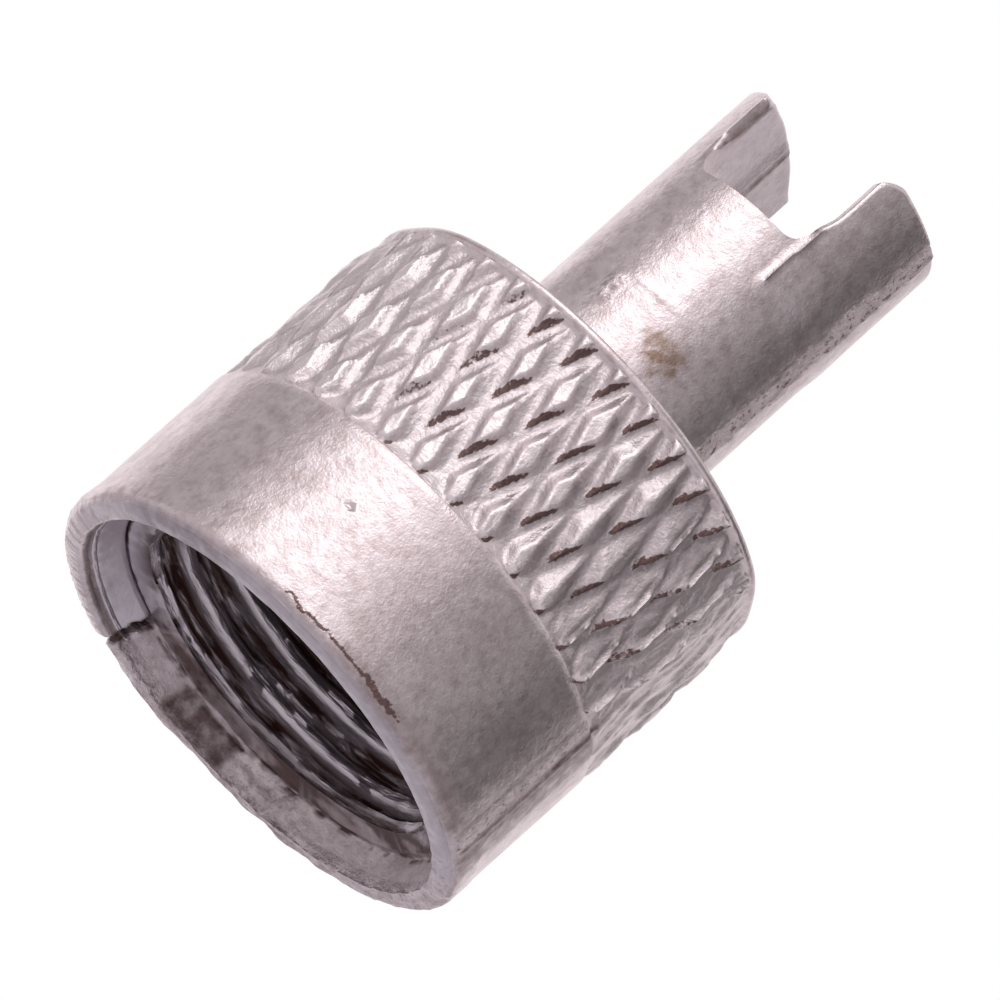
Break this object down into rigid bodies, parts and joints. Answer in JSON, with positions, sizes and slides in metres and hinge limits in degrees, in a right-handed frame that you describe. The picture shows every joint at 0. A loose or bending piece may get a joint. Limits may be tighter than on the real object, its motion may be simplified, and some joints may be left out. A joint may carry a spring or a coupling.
{
  "type": "tyre valve cap",
  "caption": "Die-cast tyre valve cap with a plain skirt, a diamond-knurled grip, a threaded mouth and a slotted key on top for turning valve cores.",
  "frame": {"origin": "centre of the mouth's rim, on the plane that the rim lies on", "axes": "+Z along the cap's axis from the mouth to the key, Y along the key's slot, X along the line where the mould parted"},
  "size_m": [0.01, 0.0102, 0.0154],
  "materials": {
    "plated_zinc": "satin nickel-plated zinc die casting, with the mould's orange-peel texture",
    "seal_rubber": "matt moulded rubber"
  },
  "bodies": {
    "root": {"cap_body": "plated_zinc", "seal_ring": "seal_rubber"}
  },
  "joints": []
}
